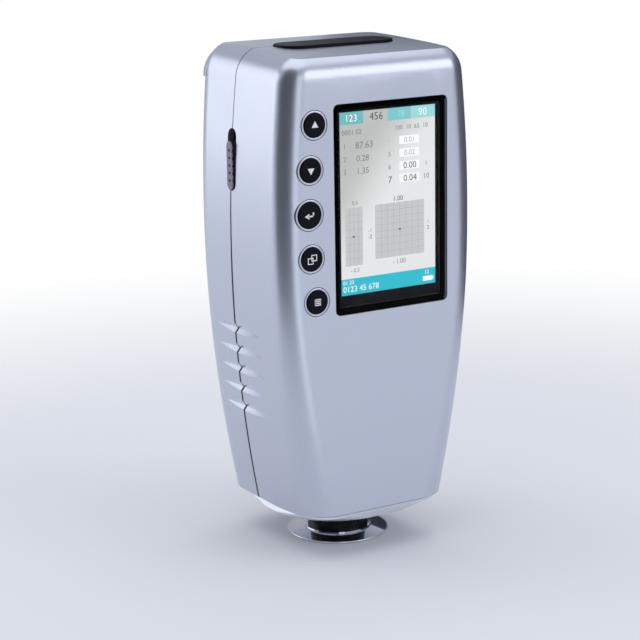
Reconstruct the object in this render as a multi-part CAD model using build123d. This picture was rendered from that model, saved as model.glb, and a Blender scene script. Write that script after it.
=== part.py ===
from build123d import *
import math
import os

# Portable colorimeter, held upright with its measuring foot on the sample.
# Millimetres, +Z up, the screen faces -Y. The origin is the centre of the
# measuring aperture on the underside of the foot.

# Casing outline
half_width = 43.3
widest_z = 129.6
side_radius = 562.0
front_y = -34.6
rear_y = 33.8
rim_z = 16.8
front_rim_z = 18.7
rim_rise_y = -7.0
side_top_radius = 10.5
front_top_radius = 9.0
rear_top_radius = 13.0
corner_radius = 9.0
low_corner_radius = 14.5
rear_corner_radius = 11.5
low_rear_corner_radius = 13.0
corner_growth_z = 105.0
corner_growth_power = 1.3
least_corner = 1.2
wall = 2.6
embed = 0.6

# Top face: an arch from front to back, which slopes down to the front
crown_top = 194.4
crown_y = 15.7
crown_radius = 564.0
crown_shave = 1.1
crown_margin = 0.5
top_tilt = 0.0325
tilt_start_z = 120.0

# Joint between the two shells, a plane that leans back towards the foot
parting_y = 3.4
parting_z = 130.0
parting_lean = 0.034
parting_gap = 0.4
lip_depth = 1.6
lip_inset = 1.3
lip_clearance = 0.1

# Finger grooves on both sides
groove_count = 5
groove_top_z = 87.3
groove_pitch = 7.97
groove_depth = 1.5
groove_half_height = 1.9
groove_half_length = 17.0
groove_y = 2.75

# Screen
glass_width = 50.0
glass_height = 78.7
glass_thickness = 1.5
glass_radius = 2.0
glass_clearance = 0.15
screen_x = 4.4
screen_z = 136.15
gasket_thickness = 0.3
ledge_width = 2.4
panel_margin = 1.6
panel_thickness = 2.6
bracket_thickness = 1.2
bracket_side_reach = 3.0
bracket_rail = 6.0

# Keys beside the screen
key_count = 5
key_middle_x = -31.5
key_middle_z = 136.1
key_pitch = 16.45
key_arc_radius = 205.0
key_radius = 4.45
enter_key_radius = 4.9
key_clearance = 0.15
key_proud = 0.5
key_edge_round = 0.5
key_ring_width = 1.2
key_ring_depth = 0.9
key_flange_step = 0.75
key_flange_thickness = 0.9
key_stem_radius = 1.6
key_travel = 0.7
key_rest_gap = 0.1
press_gap = 0.05
key_switch_size = 4.5
key_switch_height = 1.2
key_plunger_radius = 1.1
key_plunger_height = 0.5

# Measuring key on the top
trigger_length = 49.4
trigger_width = 17.0
trigger_corner = 7.5
trigger_y = -1.8
trigger_top = 195.0
trigger_edge_round = 0.6
trigger_clearance = 0.2
trigger_flange_step = 1.2
trigger_flange_thickness = 1.0
trigger_stem_radius = 2.4
trigger_stem_length = 0.8
trigger_travel = 1.0
trigger_switch_size = 6.0
trigger_switch_height = 3.4
trigger_plunger_radius = 1.6
trigger_plunger_height = 0.7
trigger_board_length = 30.0
trigger_board_width = 12.4
shelf_thickness = 2.0
shelf_margin = 2.0

# Power slide on the left side
slot_length = 23.6
slot_width = 6.4
slot_z = 153.1
slider_length = 18.6
slider_width = 4.6
slider_proud = 0.9
slider_end_gap = 0.3
slider_plate_gap = 0.2
slider_plate_thickness = 1.2
slider_plate_width = 9.0
slider_plate_cover = 0.7
slider_notches = 5
slider_notch_pitch = 2.84
slider_notch_radius = 0.55
lever_width = 2.0
lever_length = 2.0
lever_clearance = 0.4
power_switch_length = 13.2
power_switch_depth = 4.8
power_switch_half_width = 4.2
power_switch_gap = 0.2

# Charging socket on the right side
socket_z = 153.1
socket_length = 8.9
socket_height = 3.2
socket_depth = 7.4
socket_recess = 0.7
socket_skin = 0.3
socket_blind = 1.4
socket_tongue = 0.7
port_clearance = 0.35

# Boards
board_thickness = 1.6
small_board_thickness = 1.2
main_board_half_width = 36.5
main_board_low_z = 86.0
main_board_high_z = 180.0
main_board_y = -20.8
key_board_left_x = -37.5
key_board_right_x = -24.6
key_board_low_margin = 6.5
key_board_high_margin = 5.0
side_board_width = 6.6
side_board_length = 24.8
side_board_wall_gap = 2.8
shield_size = 26.0
shield_height = 2.6
shield_z = 132.0
chip_size = 9.0
chip_height = 1.3
chip_gap = 5.0

# Battery and its door
battery_width = 50.0
battery_height = 66.0
battery_thickness = 14.0
battery_z = 114.0
bay_clearance = 0.8
bay_end_clearance = 1.6
bay_wall = 1.6
bay_floor_y = 16.0
door_thickness = 1.6
door_overlap = 2.0
door_clearance = 0.2
door_seat_gap = 0.15
door_rib_gap = 0.3
door_rib_width = 30.0
door_rib_thickness = 1.6
door_grip_count = 4
door_grip_pitch = 3.0
door_grip_radius = 0.6
door_grip_length = 24.0
contact_width = 4.0
contact_length = 8.0
contact_spread = 12.0

# Raised hood across the top of the back
hood_z = 182.0
hood_proud = 2.0
hood_drop = 1.2

# Screws
small_screw_radius = 1.0
small_head_radius = 1.7
small_head_height = 1.2
small_screw_length = 5.0
case_screw_radius = 1.45
case_head_radius = 2.75
case_head_height = 2.2
case_screw_length = 19.0
frame_screw_radius = 1.25
frame_head_radius = 2.2
frame_head_height = 1.5
frame_screw_length = 8.0
drive_ratio = 0.5
drive_depth_ratio = 0.5
thread_clearance = 0.03
screw_clearance = 0.2
pilot_extra = 1.0

# Bosses
boss_radius = 2.6
slim_boss_radius = 1.8
side_boss_radius = 2.2
case_boss_radius = 3.8
case_tube_radius = 4.3
case_boss_end_y = 5.0
case_head_seat_y = 12.0
case_upper_x = 31.0
case_upper_z = 185.0
case_lower_x = 32.0
case_lower_z = 60.0
board_boss_x = 34.0
board_boss_low_z = 91.0
board_boss_high_z = 177.2
key_board_boss_x = -35.4
key_board_inner_boss_x = -27.2
bracket_boss_gap = 2.4

# Bottom cap
cap_bottom = 14.0
cap_half = 31.0
cap_corner = 27.0
cap_step = 1.7
cap_seam = 0.5
cap_floor = 2.4
cap_pocket_inset = 7.8
cap_lip_height = 3.5
cap_lip_thickness = 1.6
cap_clearance = 0.15
lug_x = 15.0
lug_inset = 10.6
lug_radius = 3.2
lug_height = 10.0

# Measuring foot and neck
foot_radius = 20.1
foot_rim = 0.9
foot_floor = 1.0
foot_collar_height = 2.6
foot_collar_wall = 1.3
foot_cone_top = 1.9
neck_radius = 12.0
neck_bore = 9.0
neck_clearance = 0.05
neck_flange_radius = 17.4
neck_flange_thickness = 2.8
neck_screw_circle = 15.4
neck_screw_count = 3
neck_hole_clearance = 0.1
aperture_radius = 4.0
aperture_plug_radius = 7.0
aperture_plug_clearance = 0.05
aperture_flange_radius = 8.6
aperture_flange_thickness = 1.2

# Light sphere and optics
sphere_centre_z = 38.0
sphere_radius = 19.0
sphere_bore = 16.5
sphere_flange_radius = 23.0
sphere_flange_thickness = 1.6
sphere_screw_circle = 21.1
sphere_screw_count = 4
pedestal_radius = 13.4
pedestal_overlap = 6.0
sample_port_radius = 8.0
sphere_boss_radius = 13.0
sphere_boss_rise = 0.5
sensor_port_radius = 4.0
frame_thickness = 1.4
frame_half_x = 28.0
frame_half_y = 20.0
frame_corner = 4.0
frame_hole_clearance = 0.2
pillar_x = 24.0
pillar_y = 16.0
pillar_radius = 3.2
led_count = 8
led_circle = 10.2
led_radius = 1.5
led_length = 3.6
led_port_clearance = 0.1
led_board_inner = 7.4
led_board_outer = 12.8
barrel_radius = 7.2
barrel_bore = 4.6
barrel_top = 76.0
barrel_stop_z = 60.0
barrel_stop_bore = 3.9
barrel_flange_radius = 10.5
barrel_flange_thickness = 3.0
lens_radius = 4.55
lens_thickness = 2.4
lens_edge = 1.2
sensor_board_size = 22.0
sensor_size = 5.0
sensor_height = 1.4
sensor_screw_spread = 8.6


def parting_at(z):
    return parting_y - (z - parting_z) * parting_lean


def crown_z(y, inset=0.0):
    rise = math.sqrt((crown_radius - inset) ** 2 - (y - crown_y) ** 2)
    return crown_top - crown_radius + rise


# Places that several pieces share
top_apex = crown_top + crown_shave
shoulder_z = top_apex - rear_top_radius
front_inside_y = front_y + wall
slot_y = parting_at(slot_z)
socket_y = parting_at(socket_z)
trigger_front_y = trigger_y - trigger_width / 2 - trigger_flange_step
ceiling_z = crown_z(trigger_front_y, wall)
window_width = glass_width - 2 * ledge_width
window_height = glass_height - 2 * ledge_width
panel_width = window_width + 2 * panel_margin
panel_height = window_height + 2 * panel_margin
glass_back_y = front_y + glass_thickness
panel_back_y = front_inside_y + panel_thickness
bracket_back_y = panel_back_y + bracket_thickness
key_flange_y = front_inside_y + key_rest_gap + key_flange_thickness
key_plunger_y = key_flange_y + key_stem_radius + key_travel + press_gap
key_board_y = key_plunger_y + key_plunger_height + key_switch_height
main_board_back_y = main_board_y + board_thickness
trigger_flange_z = ceiling_z - key_rest_gap - trigger_flange_thickness
trigger_plunger_z = trigger_flange_z - trigger_stem_length - trigger_travel - key_rest_gap
trigger_board_top = trigger_plunger_z - trigger_plunger_height - trigger_switch_height
shelf_top = trigger_board_top - small_board_thickness
slider_travel = slot_length - slider_length - 2 * slider_end_gap
slider_z = slot_z - slot_length / 2 + slider_end_gap + slider_length / 2
door_width = battery_width + 2 * bay_clearance + 2 * door_overlap
door_height = battery_height + 2 * bay_end_clearance + 2 * door_overlap
cap_floor_top = cap_bottom + cap_floor
neck_top = cap_floor_top + neck_flange_thickness
frame_top = sphere_centre_z - sphere_flange_thickness
frame_low = frame_top - frame_thickness
sphere_boss_top = sphere_centre_z + sphere_radius + sphere_boss_rise
sensor_board_top = barrel_top + small_board_thickness
window_corner = glass_radius / 2
least_flat = 0.01
far = 120.0
stand = (Align.CENTER, Align.CENTER, Align.MIN)
hang = (Align.CENTER, Align.CENTER, Align.MAX)


def side_x(z):
    drop = side_radius - math.sqrt(side_radius ** 2 - (z - widest_z) ** 2)
    return half_width - drop


def edge_inset(z, apex, radius):
    rise = z - (apex - radius)
    if rise <= 0:
        return 0.0
    return radius - math.sqrt(radius ** 2 - rise ** 2)


def tilt_at(z):
    share = min(max((z - tilt_start_z) / (shoulder_z - tilt_start_z), 0.0), 1.0)
    return top_tilt * share ** 2 * (3 - 2 * share)


def outline(reach, front, rear, front_r, rear_r, height, tilt=0.0):
    """Plan outline with four round corners. A tilt lowers its front edge."""
    corners = [
        (reach, front, front_r, 1, -1),
        (reach, rear, rear_r, 1, 1),
        (-reach, rear, rear_r, -1, 1),
        (-reach, front, front_r, -1, -1),
    ]
    middle = 1 - math.sqrt(0.5)
    arcs = []
    for x, y, r, sx, sy in corners:
        beside = (x, y - sy * r)
        ahead = (x - sx * r, y)
        bend = (x - sx * middle * r, y - sy * middle * r)
        arc = (ahead, bend, beside) if sx == -sy else (beside, bend, ahead)
        arcs.append([(px, py, height + tilt * (py - crown_y)) for px, py in arc])
    edges = []
    for index, arc in enumerate(arcs):
        edges.append(ThreePointArc(*arc))
        edges.append(Line(arc[2], arcs[(index + 1) % len(arcs)][0]))
    return Face(Wire(edges))


def ring(z, inset=0.0, place_z=None):
    """Plan outline of the casing at height z, drawn in by inset."""
    apex = top_apex - inset
    x_edge = edge_inset(z, apex, side_top_radius - inset)
    front_edge = edge_inset(z, apex, front_top_radius - inset)
    rear_edge = edge_inset(z, apex, rear_top_radius - inset)
    reach = side_x(z) - inset - x_edge
    growth = max(0.0, (corner_growth_z - z) / (corner_growth_z - rim_z)) ** corner_growth_power
    front_r = corner_radius + (low_corner_radius - corner_radius) * growth
    rear_r = rear_corner_radius + (low_rear_corner_radius - rear_corner_radius) * growth
    return outline(
        reach,
        front_y + inset + front_edge,
        rear_y - inset - rear_edge,
        max(front_r - inset - (x_edge + front_edge) / 2, least_corner),
        max(rear_r - inset - (x_edge + rear_edge) / 2, least_corner),
        z if place_z is None else place_z,
        tilt_at(z),
    )


def body(inset=0.0, low_z=rim_z):
    """The casing as one solid, drawn in by inset on every side."""
    apex = top_apex - inset
    radius = rear_top_radius - inset
    shoulder = apex - radius
    steps = 10
    straight_end = shoulder - 10.0
    heights = [low_z + (straight_end - low_z) * step / steps for step in range(steps + 1)]
    heights += [shoulder - 5.0, shoulder - 2.0, shoulder + 0.5]
    heights += [shoulder + radius * math.sin(math.radians(angle)) for angle in range(14, 63, 12)]
    heights.append(apex - crown_margin)
    full = loft([ring(z, inset) for z in heights])
    arch = Cylinder(crown_radius - inset, 2 * far, rotation=(0, 90, 0))
    return full & Pos(0, crown_y, crown_top - crown_radius) * arch


def behind_parting(near, deep):
    """Leaning slab of space from near to deep behind the parting plane."""
    slab = block(-far, far, near, deep, -2 * far, 2 * far)
    return Pos(0, parting_y, parting_z) * Rot(X=math.degrees(math.atan(parting_lean))) * slab


def front_rise():
    """Space below the front part of the rim, which rises towards the screen."""
    slope = math.atan((front_rim_z - rim_z) / (rim_rise_y - front_y))
    return Pos(0, rim_rise_y, rim_z) * Rot(X=-math.degrees(slope)) * block(-far, far, -far, 0, -far, 0)


def block(x0, x1, y0, y1, z0, z1):
    return Pos((x0 + x1) / 2, (y0 + y1) / 2, (z0 + z1) / 2) * Box(x1 - x0, y1 - y0, z1 - z0)


def rod_x(radius, y, z, x0, x1):
    upright = Cylinder(radius, x1 - x0, align=stand)
    return Pos(x0, y, z) * Rot(Y=90) * upright


def rod_y(radius, x, z, y0, y1):
    upright = Cylinder(radius, y1 - y0, align=stand)
    return Pos(x, y0, z) * Rot(X=-90) * upright


def rod_z(radius, x, y, z0, z1):
    upright = Cylinder(radius, z1 - z0, align=stand)
    return Pos(x, y, z0) * upright


def slab_y(width, height, corner, x, z, y0, y1):
    """Rounded plate seen from the front, y0 to y1 deep."""
    plate = extrude(RectangleRounded(width, height, corner), amount=y1 - y0)
    return Pos(x, y1, z) * Rot(X=90) * plate


def slab_x(width, height, corner, y, z, x0, x1):
    """Rounded plate seen from the side, width along Y and height along Z."""
    plate = extrude(RectangleRounded(height, width, corner), amount=x1 - x0)
    return Pos(x0, y, z) * Rot(Y=90) * plate


def slab_z(length, width, corner, x, y, z0, z1):
    plate = extrude(RectangleRounded(length, width, corner), amount=z1 - z0)
    return Pos(x, y, z0) * plate


def turned(points):
    """Solid of revolution about Z from (radius, z) points."""
    outline = make_face(Polyline(*[(r, 0, z) for r, z in points], close=True))
    return revolve(outline, Axis.Z)


def screw(radius, length, head_radius, head_height):
    """Screw along -Z, with its head's seat at the origin."""
    head = rod_z(head_radius, 0, 0, 0, head_height)
    drive_deep = head_height * drive_depth_ratio
    drive = extrude(RegularPolygon(head_radius * drive_ratio, 6), amount=drive_deep)
    shank = rod_z(radius, 0, 0, -length, 0)
    return head + shank - Pos(0, 0, head_height - drive_deep) * drive


def pilot_y(x, z, y0, y1):
    return rod_y(small_screw_radius + thread_clearance, x, z, y0, y1)


def pilot_z(x, y, z0, z1):
    return rod_z(small_screw_radius + thread_clearance, x, y, z0, z1)


def through_y(x, z, y0, y1):
    return rod_y(small_screw_radius + screw_clearance / 2, x, z, y0, y1)


def through_z(x, y, z0, z1):
    return rod_z(small_screw_radius + screw_clearance / 2, x, y, z0, z1)


def small_screw():
    return screw(small_screw_radius, small_screw_length, small_head_radius, small_head_height)


def write(name, shape):
    shape.label = name
    export_step(shape, f"parts/{name}.step")


def group(solids):
    return Compound(children=list(solids))


# Places of repeated features
def key_places():
    places = []
    for index in range(key_count):
        angle = (index - (key_count - 1) / 2) * key_pitch / key_arc_radius
        x = key_middle_x + key_arc_radius * (1 - math.cos(angle))
        z = key_middle_z - key_arc_radius * math.sin(angle)
        radius = enter_key_radius if index == 2 else key_radius
        places.append((x, z, radius))
    return places


keys = key_places()
key_gap_z = [(keys[i][1] + keys[i + 1][1]) / 2 for i in range(key_count - 1)]
key_board_bosses = [
    (key_board_boss_x, key_gap_z[0]),
    (key_board_boss_x, key_gap_z[3]),
    (key_board_inner_boss_x, key_gap_z[1]),
]
main_board_bosses = [
    (side * board_boss_x, z) for side in (-1, 1) for z in (board_boss_low_z, board_boss_high_z)
]
bracket_boss_offset = panel_width / 2 + bracket_boss_gap
bracket_bosses = [
    (screen_x + side * bracket_boss_offset, z) for side in (-1, 1) for z in (key_gap_z[0], key_gap_z[3])
]
case_bosses = [
    (side * x, z)
    for side in (-1, 1)
    for x, z in ((case_upper_x, case_upper_z), (case_lower_x, case_lower_z))
]
trigger_screws = [
    side * (trigger_board_length / 2 - small_head_radius - shelf_margin / 2) for side in (-1, 1)
]
pillars = [(sx * pillar_x, sy * pillar_y) for sx in (-1, 1) for sy in (-1, 1)]
front_lugs = [(side * lug_x, front_y + lug_inset) for side in (-1, 1)]
rear_lugs = [(side * lug_x, rear_y - lug_inset) for side in (-1, 1)]
side_board_z = slot_z
side_boss_offset = side_board_length / 2 - small_head_radius - screw_clearance
side_boss_z = [side_board_z + sign * side_boss_offset for sign in (-1, 1)]
inside_x = side_x(side_board_z + side_board_length / 2) - wall
side_board_outer_x = inside_x - side_board_wall_gap
side_board_x = side_board_outer_x - side_board_width / 2
power_board_y = slot_y + power_switch_half_width
io_board_y = socket_y + socket_height / 2
slider_plate_high = slot_z + slot_length / 2 + slider_plate_cover
slider_plate_low = slot_z - slot_length / 2 - slider_plate_cover - slider_travel
slider_plate_x = side_x(slider_plate_high + slider_travel) - wall - slider_plate_gap


def groove_cutters():
    """Wheels with a sharp rim that bite leaf-shaped grooves into both sides."""
    wheel_radius = groove_half_length ** 2 / (2 * groove_depth)
    depth = 4 * groove_depth
    height = groove_half_height * depth / groove_depth
    cutters = []
    for index in range(groove_count):
        z = groove_top_z - index * groove_pitch
        up = Cone(wheel_radius, wheel_radius - depth, height, align=stand)
        down = Cone(wheel_radius - depth, wheel_radius, height, align=hang)
        for side in (-1, 1):
            centre = side * (side_x(z) + wheel_radius - groove_depth)
            cutters.append(Pos(centre, groove_y, z) * (up + down))
    return cutters


def trigger_opening():
    return slab_z(
        trigger_length + 2 * trigger_clearance,
        trigger_width + 2 * trigger_clearance,
        trigger_corner + trigger_clearance,
        0,
        trigger_y,
        ceiling_z - wall,
        crown_top + wall,
    )


def slot_opening():
    corner = slot_width / 2 - least_flat
    return slab_x(slot_width, slot_length, corner, slot_y, slot_z, -far / 2, -inside_x + wall)


def port_opening():
    width = socket_height + 2 * port_clearance
    length = socket_length + 2 * port_clearance
    return slab_x(width, length, width / 3, socket_y, socket_z, inside_x - wall, far / 2)


def shared_cuts():
    return groove_cutters() + [trigger_opening(), slot_opening(), port_opening()]


outer = body()
core = body(lip_inset, rim_z - wall)
inner = body(wall, rim_z - wall)


def cap_lug(x, y, wall_y):
    """Column beside a wall that takes a cap screw from below."""
    column = rod_z(lug_radius, x, y, rim_z, rim_z + lug_height)
    web = block(x - lug_radius, x + lug_radius, min(y, wall_y), max(y, wall_y), rim_z, rim_z + lug_height)
    deep = rim_z + frame_screw_length + pilot_extra
    hole = rod_z(frame_screw_radius + thread_clearance, x, y, rim_z - wall, deep)
    return column + web, hole


def key_dish(radius):
    """Cone that opens the mouth of a key hole, run on past the front face."""
    hole_radius = radius + key_clearance
    slope = (key_ring_width - key_clearance) / key_ring_depth
    height = key_ring_depth + embed
    return Cone(hole_radius, hole_radius + slope * height, height, align=stand)


def front_shell():
    shell = (outer & behind_parting(-far, 0)) - inner
    lip_zone = behind_parting(-embed, lip_depth)
    shell += (body(lip_inset + lip_clearance, rim_z) & lip_zone) - inner
    bosses = []
    holes = []
    root = front_inside_y - embed
    for x, z in main_board_bosses:
        bosses.append(rod_y(boss_radius, x, z, root, main_board_y))
        holes.append(pilot_y(x, z, main_board_y - small_screw_length, main_board_y))
    for x, z in key_board_bosses:
        bosses.append(rod_y(slim_boss_radius, x, z, root, key_board_y))
        holes.append(pilot_y(x, z, key_board_y - small_screw_length, key_board_y))
    for x, z in bracket_bosses:
        bosses.append(rod_y(slim_boss_radius, x, z, root, panel_back_y))
        holes.append(pilot_y(x, z, bracket_back_y - small_screw_length, panel_back_y))
    for x, z in case_bosses:
        bosses.append(rod_y(case_boss_radius, x, z, root, case_boss_end_y))
        deep = case_head_seat_y - case_screw_length - pilot_extra
        holes.append(rod_y(case_screw_radius + thread_clearance, x, z, deep, case_boss_end_y))
    shelf_half = trigger_board_length / 2 + shelf_margin
    shelf_end = trigger_y + trigger_board_width / 2
    shelf = block(-shelf_half, shelf_half, root, shelf_end, shelf_top - shelf_thickness, shelf_top)
    bosses.append(shelf)
    for x in trigger_screws:
        bosses.append(rod_z(slim_boss_radius, x, trigger_y, shelf_top - small_screw_length, shelf_top))
        holes.append(pilot_z(x, trigger_y, shelf_top - small_screw_length, shelf_top))
    for x, y in front_lugs:
        lug, hole = cap_lug(x, y, root)
        bosses.append(lug)
        holes.append(hole)
    for boss in bosses:
        shell += boss & core
    for cut in holes + shared_cuts() + [front_rise()]:
        shell -= cut
    pocket_width = glass_width + 2 * glass_clearance
    pocket_height = glass_height + 2 * glass_clearance
    pocket_back = glass_back_y + gasket_thickness
    pocket_corner = glass_radius + glass_clearance
    ahead = front_y - wall
    shell -= slab_y(pocket_width, pocket_height, pocket_corner, screen_x, screen_z, ahead, pocket_back)
    behind = panel_back_y - embed
    shell -= slab_y(window_width, window_height, window_corner, screen_x, screen_z, front_y, behind)
    for x, z, radius in keys:
        hole_radius = radius + key_clearance
        shell -= rod_y(hole_radius, x, z, front_y - wall, front_inside_y + embed)
        flange_reach = radius + key_flange_step + key_clearance
        relief_y = front_inside_y - press_gap
        shell -= rod_y(flange_reach, x, z, relief_y, key_flange_y + key_travel + key_clearance)
        shell -= Pos(x, front_y + key_ring_depth, z) * Rot(X=90) * key_dish(radius)
    return shell


def rear_shell():
    rebate = core & behind_parting(-wall, lip_depth)
    shell = (outer & behind_parting(parting_gap, far)) - inner - rebate
    bosses = []
    holes = []
    back = rear_y
    for x, z in case_bosses:
        bosses.append(rod_y(case_tube_radius, x, z, case_boss_end_y, back))
        holes.append(rod_y(case_screw_radius + screw_clearance, x, z, case_boss_end_y, case_head_seat_y))
        well_end = back + hood_proud + wall
        holes.append(rod_y(case_head_radius + screw_clearance, x, z, case_head_seat_y, well_end))
    for side, board_y in ((-1, power_board_y), (1, io_board_y)):
        seat = board_y + small_board_thickness
        for z in side_boss_z:
            bosses.append(rod_y(side_boss_radius, side * side_board_x, z, seat, back - door_thickness))
            holes.append(pilot_y(side * side_board_x, z, seat, board_y + small_screw_length))
    for x, y in rear_lugs:
        lug, hole = cap_lug(x, y, back - wall + embed)
        bosses.append(lug)
        holes.append(hole)
    bay_x = battery_width / 2 + bay_clearance
    bay_z = battery_height / 2 + bay_end_clearance
    tray = block(
        -bay_x - bay_wall, bay_x + bay_wall, bay_floor_y - bay_wall, back - door_thickness,
        battery_z - bay_z - bay_wall, battery_z + bay_z + bay_wall,
    )
    bosses.append(tray)
    hood_zone = block(-far, far, back - corner_radius, far, hood_z, far * 2)
    shell += (Pos(0, hood_proud, -hood_drop) * outer & hood_zone) - inner
    for boss in bosses:
        shell += boss & core
    holes.append(block(-bay_x, bay_x, bay_floor_y, far, battery_z - bay_z, battery_z + bay_z))
    door_seat = block(
        -door_width / 2 - door_clearance, door_width / 2 + door_clearance, 0, far,
        battery_z - door_height / 2 - door_clearance, battery_z + door_height / 2 + door_clearance,
    )
    holes.append(door_seat - body(door_thickness + door_seat_gap, rim_z))
    for cut in holes + shared_cuts():
        shell -= cut
    return shell


def battery_door():
    skin = outer - body(door_thickness, rim_z - wall)
    low = battery_z - door_height / 2
    high = battery_z + door_height / 2
    door = skin & block(-door_width / 2, door_width / 2, bay_floor_y, far, low, high)
    rib_y = bay_floor_y + battery_thickness + door_rib_gap
    rib_end = rear_y - door_thickness + embed / 2
    half = door_rib_thickness / 2
    reach = door_rib_width / 2
    for sign in (-1, 1):
        z = battery_z + sign * battery_height / 4
        door += block(-reach, reach, rib_y, rib_end, z - half, z + half)
    for index in range(door_grip_count):
        z = high - (index + 2) * door_grip_pitch
        door -= rod_x(door_grip_radius, rear_y, z, -door_grip_length / 2, door_grip_length / 2)
    return door


def bottom_cap():
    foot = outline(cap_half, -cap_half, cap_half, cap_corner, cap_corner, cap_bottom)
    shell = loft([foot, ring(rim_z, cap_step)], ruled=True)
    rise_top = front_rim_z + cap_seam
    shell += loft([ring(rim_z, cap_step), ring(rim_z, cap_seam, rise_top)], ruled=True) & front_rise()
    shell -= extrude(ring(rim_z, cap_pocket_inset, cap_floor_top), amount=rim_z)
    lip_inset_out = wall + cap_clearance
    upstand = extrude(ring(rim_z, lip_inset_out), amount=cap_lip_height)
    upstand -= extrude(ring(rim_z, lip_inset_out + cap_lip_thickness), amount=cap_lip_height)
    for x, y in front_lugs + rear_lugs:
        reach = lug_radius + cap_clearance
        edge = front_y if y < 0 else rear_y
        upstand -= block(x - reach, x + reach, min(y, edge), max(y, edge), rim_z, rim_z + lug_height)
    shell += upstand
    for x, y in pillars:
        shell += rod_z(pillar_radius, x, y, cap_floor_top - embed, frame_low)
    for x, y in rear_lugs:
        shell += rod_z(lug_radius, x, y, cap_floor_top - embed, rim_z)
    for x, y in front_lugs:
        shell += rod_z(lug_radius, x, y, cap_floor_top - embed, rise_top) & front_rise()
    for x, y in front_lugs + rear_lugs:
        shell -= rod_z(frame_screw_radius + screw_clearance, x, y, 0, rise_top)
        shell -= rod_z(frame_head_radius + screw_clearance, x, y, 0, cap_bottom + frame_head_height)
    for x, y in pillars:
        deep = frame_top - frame_screw_length - pilot_extra
        shell -= rod_z(frame_screw_radius + thread_clearance, x, y, deep, frame_low)
    shell -= rod_z(neck_radius + neck_hole_clearance, 0, 0, 0, rim_z)
    for location in PolarLocations(neck_screw_circle, neck_screw_count, start_angle=90):
        shell -= location * pilot_z(0, 0, 0, rim_z)
    return shell


def key_cap(x, z, radius):
    cap = rod_y(radius, x, z, front_y - key_proud, front_inside_y + key_rest_gap)
    cap = fillet(cap.edges().group_by(Axis.Y)[0], key_edge_round)
    flange_front = front_inside_y + key_rest_gap
    cap += rod_y(radius + key_flange_step, x, z, flange_front, key_flange_y)
    cap += rod_y(key_stem_radius, x, z, key_flange_y - embed, key_flange_y + key_stem_radius)
    return cap


def key_switches():
    switches = []
    half = key_switch_size / 2
    for x, z, _ in keys:
        top = key_board_y - key_switch_height
        housing = block(x - half, x + half, top, key_board_y, z - half, z + half)
        switches.append(housing + rod_y(key_plunger_radius, x, z, key_plunger_y, key_board_y))
    return group(switches)


def key_board():
    low = keys[-1][1] - key_board_low_margin
    high = keys[0][1] + key_board_high_margin
    board = block(
        key_board_left_x, key_board_right_x, key_board_y, key_board_y + small_board_thickness, low, high
    )
    for x, z in key_board_bosses:
        board -= through_y(x, z, key_board_y - wall, key_board_y + wall)
    return board


def measure_key():
    key = slab_z(trigger_length, trigger_width, trigger_corner, 0, trigger_y, trigger_flange_z, trigger_top)
    key = fillet(key.edges().group_by(Axis.Z)[-1], trigger_edge_round)
    grow = 2 * trigger_flange_step
    key += slab_z(
        trigger_length + grow, trigger_width + grow, trigger_corner + trigger_flange_step, 0, trigger_y,
        trigger_flange_z, trigger_flange_z + trigger_flange_thickness,
    )
    low = trigger_flange_z - trigger_stem_length
    key += rod_z(trigger_stem_radius, 0, trigger_y, low, trigger_flange_z + embed)
    return key


def trigger_board():
    half = trigger_board_length / 2
    depth = trigger_board_width / 2
    board = block(-half, half, trigger_y - depth, trigger_y + depth, shelf_top, trigger_board_top)
    for x in trigger_screws:
        board -= through_z(x, trigger_y, shelf_top, trigger_board_top)
    return board


def trigger_switch():
    half = trigger_switch_size / 2
    top = trigger_board_top + trigger_switch_height
    housing = block(-half, half, trigger_y - half, trigger_y + half, trigger_board_top, top)
    return housing + rod_z(trigger_plunger_radius, 0, trigger_y, trigger_board_top, trigger_plunger_z)


def power_slider():
    face = -side_x(slider_z) - slider_proud
    plate_back = -slider_plate_x + slider_plate_thickness
    corner = slider_width / 2 - least_flat
    knob = slab_x(slider_width, slider_length, corner, slot_y, slider_z, face, plate_back)
    knob = fillet(knob.edges().group_by(Axis.X)[0], slider_proud / 3)
    for index in range(slider_notches):
        z = slider_z + (index - (slider_notches - 1) / 2) * slider_notch_pitch
        knob -= rod_y(slider_notch_radius, face, z, slot_y - slider_width, slot_y + slider_width)
    half = slider_plate_width / 2
    knob += block(
        -slider_plate_x, plate_back, slot_y - half, slot_y + half, slider_plate_low, slider_plate_high
    )
    reach = lever_width / 2
    knob += block(
        -slider_plate_x, plate_back + lever_length, slot_y - reach, slot_y + reach,
        slider_z - reach, slider_z + reach,
    )
    return knob


def power_switch():
    face = -slider_plate_x + slider_plate_thickness + power_switch_gap
    front = 2 * slot_y - power_board_y
    low = slider_z + slider_travel / 2 - power_switch_length / 2
    housing = block(face, face + power_switch_depth, front, power_board_y, low, low + power_switch_length)
    reach = lever_width / 2 + lever_clearance
    housing -= block(
        face, face + lever_length + lever_clearance, slot_y - reach, slot_y + reach,
        slider_z - reach, slider_z + slider_travel + reach,
    )
    return housing


def side_board(side, board_y):
    x0, x1 = sorted((side * (side_board_outer_x - side_board_width), side * side_board_outer_x))
    half = side_board_length / 2
    board_end = board_y + small_board_thickness
    board = block(x0, x1, board_y, board_end, side_board_z - half, side_board_z + half)
    for z in side_boss_z:
        board -= through_y(side * side_board_x, z, board_y, board_end)
    return board


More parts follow.
